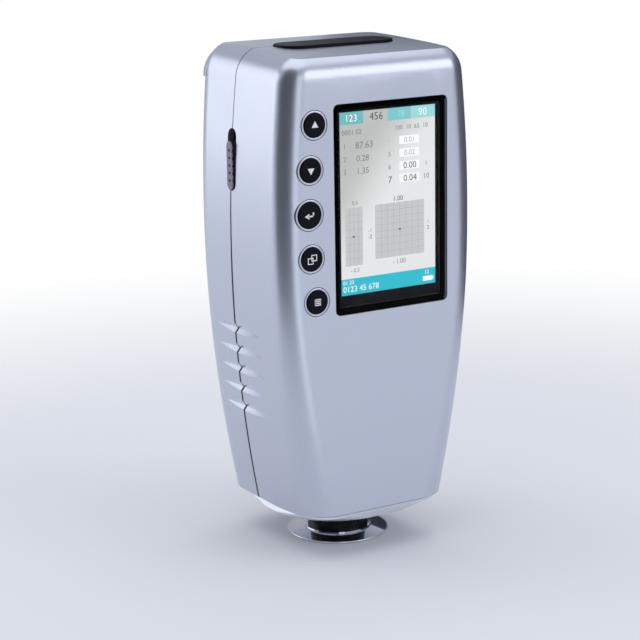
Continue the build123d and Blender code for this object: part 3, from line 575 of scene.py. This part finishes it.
addBorder(screen)


# The picture's pale ground, greyer towards its upper left corner
groundShade = {
    "along": (0.8, 0, -0.6),
    "from": -0.103,
    "to": -0.078,
    "grey": (0.50, 0.515, 0.50, 1),
    "pale": (0.79, 0.80, 0.80, 1),
}


def newGroundGlow(values):
    material = newGlow("groundGlow", values["pale"])
    tree = material.node_tree
    shader = tree.nodes["Principled BSDF"]
    place = tree.nodes.new("ShaderNodeTexCoord")
    slant = tree.nodes.new("ShaderNodeVectorMath")
    slant.operation = "DOT_PRODUCT"
    slant.inputs[1].default_value = values["along"]
    spread = tree.nodes.new("ShaderNodeMapRange")
    spread.interpolation_type = "SMOOTHSTEP"
    spread.inputs["From Min"].default_value = values["from"]
    spread.inputs["From Max"].default_value = values["to"]
    mix = tree.nodes.new("ShaderNodeMix")
    mix.data_type = "RGBA"
    mix.inputs["A"].default_value = values["grey"]
    mix.inputs["B"].default_value = values["pale"]
    link(tree, place.outputs["Object"], slant.inputs[0])
    link(tree, slant.outputs["Value"], spread.inputs["Value"])
    link(tree, spread.outputs["Result"], mix.inputs["Factor"])
    link(tree, mix.outputs["Result"], shader.inputs["Emission Color"])
    return material


glows = {
    "ground": newGroundGlow(groundShade),
    "teal": newGlow("tealGlow", (0.16, 0.49, 0.52, 1)),
    "paleTeal": newGlow("paleTealGlow", (0.20, 0.58, 0.60, 1)),
    "softTeal": newGlow("softTealGlow", (0.33, 0.70, 0.72, 1)),
    "tabGrey": newGlow("tabGreyGlow", (0.52, 0.53, 0.52, 1)),
    "footTeal": newGlow("footTealGlow", (0.02, 0.50, 0.62, 1)),
    "white": newGlow("whiteGlow", (0.95, 0.96, 0.97, 1)),
    "plotGrey": newGlow("plotGreyGlow", (0.56, 0.57, 0.57, 1)),
    "gridGrey": newGlow("gridGreyGlow", (0.44, 0.45, 0.46, 1)),
    "wordGrey": newGlow("wordGreyGlow", (0.20, 0.21, 0.22, 1)),
    "wordDark": newGlow("wordDarkGlow", (0.06, 0.06, 0.07, 1)),
    "wordBlue": newGlow("wordBlueGlow", (0.16, 0.20, 0.34, 1)),
}

# Tiles: left, right, top and bottom as shares of the lit area, then the glow
pictureTiles = [
    (0.0, 0.245, 0.0, 0.068, "teal"),
    (0.25, 0.495, 0.0, 0.068, "tabGrey"),
    (0.50, 0.745, 0.0, 0.068, "paleTeal"),
    (0.75, 1.0, 0.0, 0.068, "softTeal"),
    (0.62, 0.83, 0.157, 0.203, "white"),
    (0.62, 0.83, 0.227, 0.273, "white"),
    (0.62, 0.83, 0.297, 0.343, "white"),
    (0.62, 0.83, 0.367, 0.413, "white"),
    (0.05, 0.23, 0.52, 0.84, "plotGrey"),
    (0.36, 0.88, 0.52, 0.82, "plotGrey"),
    (0.0, 1.0, 0.91, 1.0, "footTeal"),
]

# Plain numbers: text, left edge and middle line as shares, height in mm, glow
pictureWords = [
    ("123", 0.055, 0.034, 2.6, "white"),
    ("456", 0.31, 0.034, 2.8, "wordDark"),
    ("78", 0.60, 0.034, 2.4, "softTeal"),
    ("90", 0.82, 0.034, 2.8, "white"),
    ("0001 02", 0.02, 0.11, 1.9, "wordGrey"),
    ("100  10  65  10", 0.57, 0.11, 1.7, "wordGrey"),
    ("1", 0.035, 0.183, 1.9, "wordGrey"),
    ("87.63", 0.16, 0.183, 2.5, "wordGrey"),
    ("2", 0.035, 0.254, 1.9, "wordGrey"),
    ("0.28", 0.17, 0.254, 2.3, "wordGrey"),
    ("3", 0.035, 0.323, 1.9, "wordGrey"),
    ("1.35", 0.17, 0.323, 2.3, "wordGrey"),
    ("4", 0.50, 0.18, 1.8, "plotGrey"),
    ("0.01", 0.67, 0.18, 2.0, "gridGrey"),
    ("5", 0.50, 0.25, 1.8, "wordGrey"),
    ("0.02", 0.67, 0.25, 2.0, "gridGrey"),
    ("6", 0.50, 0.32, 1.8, "wordGrey"),
    ("0.00", 0.66, 0.32, 2.4, "wordDark"),
    ("7", 0.50, 0.39, 2.4, "wordDark"),
    ("0.04", 0.66, 0.39, 2.5, "wordDark"),
    ("1", 0.89, 0.32, 1.7, "wordBlue"),
    ("10", 0.87, 0.39, 2.0, "wordBlue"),
    ("0.5", 0.12, 0.495, 1.5, "wordGrey"),
    ("- 0.5", 0.10, 0.865, 1.5, "wordGrey"),
    ("1.00", 0.55, 0.497, 1.8, "wordDark"),
    ("- 1.00", 0.54, 0.848, 1.8, "wordGrey"),
    ("-1", 0.285, 0.655, 1.5, "wordGrey"),
    ("-2", 0.285, 0.69, 1.5, "wordDark"),
    ("1", 0.91, 0.645, 1.5, "wordGrey"),
    ("2", 0.91, 0.68, 1.5, "wordDark"),
    ("01 23", 0.02, 0.93, 1.5, "white"),
    ("0123 45 678", 0.02, 0.967, 2.2, "white"),
    ("12", 0.88, 0.932, 1.5, "white"),
]

plots = [
    {"box": (0.05, 0.23, 0.52, 0.84), "columns": 4, "rows": 8, "mark": (0.135, 0.68)},
    {"box": (0.36, 0.88, 0.52, 0.82), "columns": 8, "rows": 8, "mark": (0.62, 0.67)},
]


def pictureTile(values, box, rise, glow):
    left, right, top, bottom = box
    west, east, low, high = values["active"]
    front = values["groundFront"] - rise
    return paint(
        addPlate(
            west + left * (east - west), west + right * (east - west),
            high - bottom * (high - low), high - top * (high - low),
            front, values["groundFront"] + values["tileRise"],
        ),
        glows[glow],
    )


def addNumber(values, text, left, middle, height, glow):
    west, east, low, high = values["active"]
    bpy.ops.object.text_add()
    number = bpy.context.object
    number.data.body = text
    number.data.size = height / values["digitShare"] * mm
    number.data.extrude = values["wordDepth"] * mm
    number.data.resolution_u = values["wordCurve"]
    bpy.ops.object.convert(target="MESH")
    number = bpy.context.object
    number.rotation_euler = (math.pi / 2, 0, 0)
    number.location = (
        (west + left * (east - west)) * mm,
        (values["groundFront"] - values["wordRise"]) * mm,
        (high - middle * (high - low) - height / 2) * mm,
    )
    return paint(settle(number), glows[glow])


def addPicture(values):
    ground = addPlate(*values["active"], values["groundFront"], values["groundBack"])
    pieces = [paint(ground, glows["ground"])]
    for left, right, top, bottom, glow in pictureTiles:
        pieces.append(pictureTile(values, (left, right, top, bottom), values["tileRise"], glow))
    across, down = values["lineHalf"], values["lineHalf"] / 2
    reach, rise = values["markHalf"]
    for plot in plots:
        left, right, top, bottom = plot["box"]
        lines = []
        for index in range(1, plot["columns"]):
            u = left + (right - left) * index / plot["columns"]
            lines.append((u - across, u + across, top, bottom))
        for index in range(1, plot["rows"]):
            v = top + (bottom - top) * index / plot["rows"]
            lines.append((left, right, v - down, v + down))
        for line in lines:
            pieces.append(pictureTile(values, line, values["lineRise"], "gridGrey"))
        u, v = plot["mark"]
        mark = (u - reach, u + reach, v - rise, v + rise)
        pieces.append(pictureTile(values, mark, values["wordRise"], "wordDark"))
    for word in pictureWords:
        pieces.append(addNumber(values, *word))
    for box in values["batteryMark"]:
        pieces.append(pictureTile(values, box, values["lineRise"], "white"))
    picture = joinPieces(pieces, "screen_picture")
    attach(picture, "case")


addPicture(screen)
print("screen picture placed")

# Marks on the keys, printed a little proud. Millimetres from each key's middle.
markWhite = newFinish(
    "markWhite",
    {},
    grain=(2600.0, 120.0, 0.02),
    tones=((0.78, 0.80, 0.84, 1), (0.88, 0.90, 0.93, 1)),
    roughness=(0.4, 0.5),
)
keyMarks = {
    "height": 0.05,
    "sink": 0.02,
    "arrow": 1.6,
    "enterArrow": 1.25,
    "enterPoint": (-1.0, -0.3),
    "enterBars": ((-0.9, 1.65, -0.6, 0.0), (1.1, 1.65, -0.6, 1.1)),
    "squareReach": 1.05,
    "squareLine": 0.17,
    "squareFlat": 0.3,
    "squareStep": (0.75, 0.55),
    "bars": (1.05, 0.35, -0.35, -1.05),
    "barSize": (2.7, 0.42),
    "stemReach": 1.2,
}


def keyFace(name):
    low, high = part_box(name)
    return (low[0] + high[0]) / 2 / mm, low[1] / mm, (low[2] + high[2]) / 2 / mm


def markPlate(face, west, east, low, high):
    x, y, z = face
    front, back = y - keyMarks["height"], y + keyMarks["sink"]
    return addPlate(x + west, x + east, z + low, z + high, front, back)


def markArrow(face, radius, turn, offset=(0.0, 0.0)):
    # A three-sided prism that points along turn, in degrees from straight up
    x, y, z = face
    depth = keyMarks["height"] + keyMarks["sink"]
    bpy.ops.mesh.primitive_cylinder_add(vertices=3, radius=radius * mm, depth=depth * mm)
    arrow = bpy.context.object
    arrow.rotation_euler = (math.pi / 2, math.radians(turn), 0)
    arrow.location = (
        (x + offset[0]) * mm, (y - keyMarks["height"] + depth / 2) * mm, (z + offset[1]) * mm,
    )
    return settle(arrow)


def markSquare(face, offset):
    # A square outline: a flattened ring with four sides
    x, y, z = face
    reach = keyMarks["squareReach"] * math.sqrt(2)
    bpy.ops.mesh.primitive_torus_add(
        major_segments=4, minor_segments=4,
        major_radius=reach * mm, minor_radius=keyMarks["squareLine"] * math.sqrt(2) * mm,
    )
    square = bpy.context.object
    square.rotation_euler = (math.pi / 2, math.pi / 4, 0)
    square.scale = (1, 1, keyMarks["squareFlat"])
    square.location = ((x + offset[0]) * mm, y * mm, (z + offset[1]) * mm)
    return settle(square)


def finishMark(pieces, key):
    mark = joinPieces(pieces, key.replace("_key", "_mark"))
    paint(mark, markWhite)
    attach(mark, key)


def addMarks(values):
    finishMark([markArrow(keyFace("up_key"), values["arrow"], 0)], "up_key")
    finishMark([markArrow(keyFace("down_key"), values["arrow"], 180)], "down_key")
    face = keyFace("enter_key")
    parts = [markArrow(face, values["enterArrow"], -90, values["enterPoint"])]
    parts += [markPlate(face, *bar) for bar in values["enterBars"]]
    finishMark(parts, "enter_key")
    face = keyFace("back_key")
    across, rise = values["squareStep"]
    finishMark([markSquare(face, (-across, -rise)), markSquare(face, (across, rise))], "back_key")
    face = keyFace("menu_key")
    reach, thick = values["barSize"]
    west, east, half = -reach / 2, reach / 2, thick / 2
    bars = [markPlate(face, west, east, z - half, z + half) for z in values["bars"]]
    bars.append(markPlate(face, west, west + thick, -values["stemReach"], values["stemReach"]))
    finishMark(bars, "menu_key")


addMarks(keyMarks)
print("key marks placed")

# Flat bezels round the key holes, each on a dark ring of painted shade that shows as a thin
# shadow line.
# Millimetres: inner and outer from the key's side, proud and deep from the casing's front.
keyBezel = {"inner": 0.2, "outer": 0.86, "proud": 0.05, "deep": 0.7, "round": 0.1}
keySeatShade = {"inner": 0.5, "outer": 1.24, "proud": -0.06, "deep": 0.7, "round": 0.02}
keyRing = {"keyProud": 0.5, "steps": 2, "sides": 96}
keyRadii = {
    "up_key": 4.45,
    "down_key": 4.45,
    "enter_key": 4.9,
    "back_key": 4.45,
    "menu_key": 4.45,
}


def addKeyRings(values, name, material):
    rings = []
    for key, radius in keyRadii.items():
        x, y, z = keyFace(key)
        front = y + keyRing["keyProud"] - values["proud"]
        back = y + keyRing["keyProud"] + values["deep"]
        outer, inner = radius + values["outer"], radius + values["inner"]
        ring = addDisc((x, z), outer, front, back, keyRing["sides"])
        hole = addDisc((x, z), inner, front - cutClear, back + cutClear, keyRing["sides"])
        cutAway(ring, hole)
        roundEdges(ring, values["round"], keyRing["steps"])
        rings.append(ring)
    joined = joinPieces(rings, name)
    smoothPiece(joined)
    paint(joined, material)
    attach(joined, "case")


# Dark ring under each bezel: painted shade, the thin shadow line round the bezel
seatShadeGrey = newFinish(
    "seatShadeGrey",
    {"Metallic": 0.6},
    grain=(2600.0, 60.0, 0.05),
    tones=((0.05, 0.055, 0.07, 1), (0.09, 0.095, 0.11, 1)),
    roughness=(0.4, 0.5),
)
addKeyRings(keyBezel, "key_bezels", casingSilver)
addKeyRings(keySeatShade, "key_seat_shade", seatShadeGrey)
print("key bezels placed")

# Rounded edge of the foot, in a brighter copy of the foot's metal as a painted highlight.
# Millimetres.
footEdge = {
    "radius": 20.12,
    "width": 0.5,
    "low": 0.42,
    "high": 1.0,
    "round": 0.2,
    "steps": 4,
    "sides": 160,
}
# The foot's metal made lighter: a painted highlight along the edge
footPaintedHighlight = newFinish(
    "footPaintedHighlight",
    {"Metallic": 1.0},
    grain=(900.0, 70.0, 0.01),
    tones=((0.90, 0.91, 0.93, 1), (0.96, 0.97, 0.98, 1)),
    roughness=(0.06, 0.12),
)


def addFootEdge(values):
    middle = (values["low"] + values["high"]) / 2 * mm
    tall = (values["high"] - values["low"]) * mm
    rounds = []
    for radius, depth in (
        (values["radius"], tall),
        (values["radius"] - values["width"], tall * 2),
    ):
        bpy.ops.mesh.primitive_cylinder_add(
            vertices=values["sides"], radius=radius * mm, depth=depth, location=(0, 0, middle),
        )
        rounds.append(settle(bpy.context.object))
    edge, hole = rounds
    cutAway(edge, hole)
    roundEdges(edge, values["round"], values["steps"])
    smoothPiece(edge)
    edge.name = "foot_edge"
    paint(edge, footPaintedHighlight)
    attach(edge, "case")


addFootEdge(footEdge)
print("foot edge placed")

# Smooth pad on the slider, with five dimples. Millimetres, with middle as a place in Y and Z.
sliderPad = {
    "middle": (2.6146, 150.9),
    "length": 18.0,
    "width": 3.9,
    "proud": 0.06,
    "deep": 0.75,
    "dimples": 5,
    "pitch": 2.84,
    "dimpleSize": (1.75, 1.15),
    "dimpleDepth": 0.45,
    "dimpleFaces": (24, 16),
    "corners": 24,
    "round": 0.12,
    "steps": 2,
}


def addPill(values, west, east):
    # An upright pill across X: a bar with a cylinder merged in at each end
    y, z = values["middle"]
    half = values["width"] / 2
    reach = (values["length"] - values["width"]) / 2
    ends = []
    for side in (-1, 1):
        bpy.ops.mesh.primitive_cylinder_add(
            vertices=values["corners"] * 2, radius=half * mm, depth=(east - west) * mm,
            location=((west + east) / 2 * mm, y * mm, (z + side * reach) * mm),
            rotation=(0, math.pi / 2, 0),
        )
        ends.append(settle(bpy.context.object))
    bar = addPlate(west, east, z - reach, z + reach, y - half, y + half)
    for end in ends:
        mergeIn(bar, end)
    return bar


def addSliderPad(values):
    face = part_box("power_slider")[0][0] / mm
    west = face - values["proud"]
    pad = addPill(values, west, face + values["deep"])
    y, z = values["middle"]
    wide, tall = values["dimpleSize"]
    around, rings = values["dimpleFaces"]
    lowest = z - (values["dimples"] - 1) / 2 * values["pitch"]
    for index in range(values["dimples"]):
        bpy.ops.mesh.primitive_uv_sphere_add(segments=around, ring_count=rings, radius=1)
        dimple = bpy.context.object
        dimple.scale = (values["dimpleDepth"] * mm, wide / 2 * mm, tall / 2 * mm)
        dimple.location = (west * mm, y * mm, (lowest + index * values["pitch"]) * mm)
        cutAway(pad, settle(dimple))
    roundEdges(pad, values["round"], values["steps"])
    smoothPiece(pad)
    pad.name = "slider_pad"
    paint(pad, sliderGrey)
    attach(pad, "power_slider")


addSliderPad(sliderPad)
print("slider pad placed")

# Studio: a pale floor that turns white away from the object, a pale sky, lamps and cards.
# The places and sizes from here on are in metres.
studio = {
    "floorSize": 40.0,
    "floorColour": (0.84, 0.85, 0.89, 1),
    "floorRoughness": 0.7,
    "skyColour": (0.86, 0.91, 1.0, 1),
    "skyStrength": 0.55,
    "whiteFrom": 0.16,
    "whiteTo": 0.55,
    "white": (1, 1, 1, 1),
}


def addFloor(values):
    bpy.ops.mesh.primitive_plane_add(size=values["floorSize"])
    floor = bpy.context.object
    floor.name = "floor"
    material = newFinish(
        "floorPale",
        {"Base Color": values["floorColour"], "Roughness": values["floorRoughness"]},
    )
    tree = material.node_tree
    # Away from the object the camera sees the floor turn into the white background
    white = tree.nodes.new("ShaderNodeEmission")
    white.inputs["Color"].default_value = values["white"]
    place = tree.nodes.new("ShaderNodeTexCoord")
    reach = tree.nodes.new("ShaderNodeVectorMath")
    reach.operation = "LENGTH"
    fade = tree.nodes.new("ShaderNodeMapRange")
    fade.interpolation_type = "SMOOTHSTEP"
    fade.inputs["From Min"].default_value = values["whiteFrom"]
    fade.inputs["From Max"].default_value = values["whiteTo"]
    seen = tree.nodes.new("ShaderNodeLightPath")
    share = tree.nodes.new("ShaderNodeMath")
    share.operation = "MULTIPLY"
    mix = tree.nodes.new("ShaderNodeMixShader")
    link(tree, place.outputs["Object"], reach.inputs[0])
    link(tree, reach.outputs["Value"], fade.inputs["Value"])
    link(tree, fade.outputs["Result"], share.inputs[0])
    link(tree, seen.outputs["Is Camera Ray"], share.inputs[1])
    link(tree, share.outputs["Value"], mix.inputs["Fac"])
    link(tree, tree.nodes["Principled BSDF"].outputs["BSDF"], mix.inputs[1])
    link(tree, white.outputs["Emission"], mix.inputs[2])
    link(tree, mix.outputs["Shader"], tree.nodes["Material Output"].inputs["Surface"])
    floor.data.materials.append(material)


def addWorld(values):
    world = bpy.data.worlds.new("studioWorld")
    bpy.context.scene.world = world
    world.use_nodes = True
    tree = world.node_tree
    tree.nodes.clear()
    output = tree.nodes.new("ShaderNodeOutputWorld")
    sky = tree.nodes.new("ShaderNodeBackground")
    sky.inputs["Color"].default_value = values["skyColour"]
    sky.inputs["Strength"].default_value = values["skyStrength"]
    white = tree.nodes.new("ShaderNodeBackground")
    white.inputs["Color"].default_value = values["white"]
    seen = tree.nodes.new("ShaderNodeLightPath")
    mix = tree.nodes.new("ShaderNodeMixShader")
    link(tree, seen.outputs["Is Camera Ray"], mix.inputs["Fac"])
    link(tree, sky.outputs["Background"], mix.inputs[1])
    link(tree, white.outputs["Background"], mix.inputs[2])
    link(tree, mix.outputs["Shader"], output.inputs["Surface"])


lampAim = (0, 0, 0.10)  # near the object's middle
softboxes = [
    {"name": "leftBox", "place": (-0.85, 0.95, 0.35), "size": (0.9, 0.9), "power": 3.0},
    {"name": "bandBox", "place": (0.50, -0.80, 0.46), "size": (0.7, 0.6), "power": 1.85},
    {"name": "topBox", "place": (0.0, 0.1, 1.3), "size": (1.7, 1.7), "power": 8.0},
]


def addSoftbox(values):
    bpy.ops.object.light_add(type="AREA", location=values["place"])
    lamp = bpy.context.object
    lamp.name = values["name"]
    away = Vector(values["place"]) - Vector(lampAim)
    lamp.rotation_euler = away.to_track_quat("Z", "Y").to_euler()
    lamp.data.shape = "RECTANGLE"
    lamp.data.size, lamp.data.size_y = values["size"]
    lamp.data.energy = values["power"]


# Cards that are seen only in reflections: two dark ones and a bright strip. Each stands upright
# and faces the object; size is its width and height.
cardDark = {"Base Color": (0.03, 0.035, 0.05, 1), "Roughness": 1.0}
cardBright = (0.92, 0.96, 1.0, 1)
cards = [
    {"name": "leftCard", "place": (-0.303, -0.154, 0.36), "size": (0.476, 0.72), "light": 0.0},
    {"name": "rightCard", "place": (0.345, 0.061, 0.17), "size": (0.80, 0.34), "light": 0.0},
    {"name": "stripCard", "place": (-0.0515, -0.16, 0.12), "size": (0.052, 0.26), "light": 1.15},
]


def addCard(values):
    x, y = values["place"][:2]
    bpy.ops.mesh.primitive_plane_add(size=1, location=values["place"])
    sheet = bpy.context.object
    sheet.name = values["name"]
    sheet.scale = (*values["size"], 1)
    sheet.rotation_euler = Vector((x, y, 0)).to_track_quat("Z", "Y").to_euler()
    settle(sheet)
    if values["light"]:
        paint(sheet, newGlow(values["name"], cardBright, values["light"]))
    else:
        paint(sheet, newFinish(values["name"], cardDark))
    sheet.visible_camera = False
    sheet.visible_diffuse = False
    sheet.visible_transmission = False
    sheet.visible_shadow = False


addFloor(studio)
addWorld(studio)
for box in softboxes:
    addSoftbox(box)
for card in cards:
    addCard(card)
bpy.context.scene.view_settings.view_transform = "Standard"
print("studio built")
